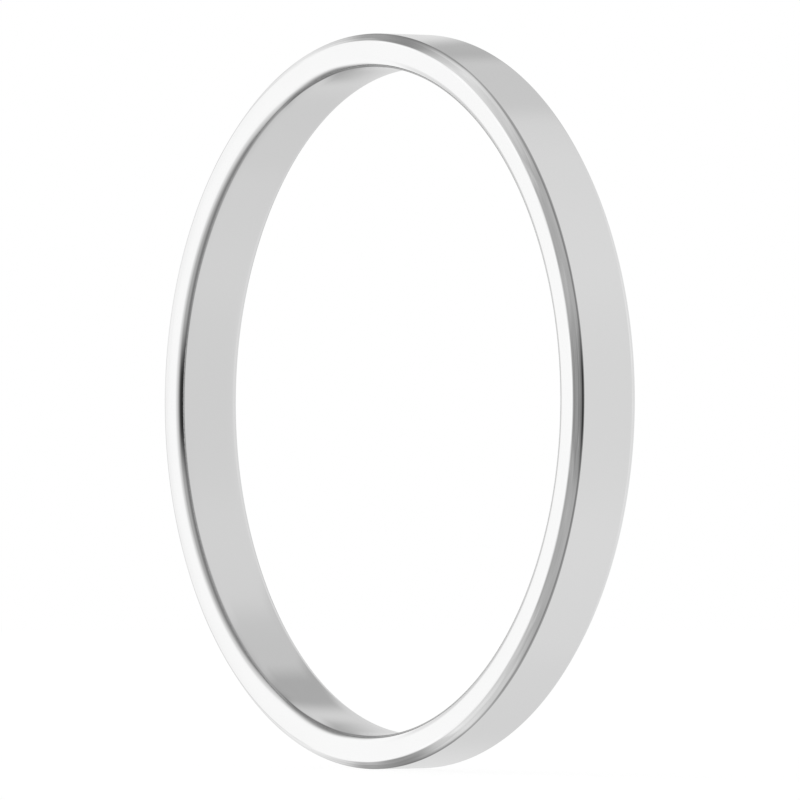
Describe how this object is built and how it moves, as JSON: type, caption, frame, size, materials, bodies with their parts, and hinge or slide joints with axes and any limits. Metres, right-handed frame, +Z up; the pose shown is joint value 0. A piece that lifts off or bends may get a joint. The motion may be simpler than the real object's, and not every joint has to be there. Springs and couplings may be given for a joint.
{
  "type": "wedding band",
  "caption": "Plain narrow wedding band, flat outside and gently eased inside, with a polished bevel along both outer edges and rounded inner edges.",
  "frame": {"origin": "centre of the finger hole, halfway across the band's width", "axes": "+Y along the finger, through the finger hole; +Z up, with the band standing upright on its rim"},
  "size_m": [0.0195, 0.002, 0.0194],
  "materials": {
    "polished_white_metal": "polished"
  },
  "bodies": {
    "root": {"band": "polished_white_metal"}
  },
  "joints": []
}
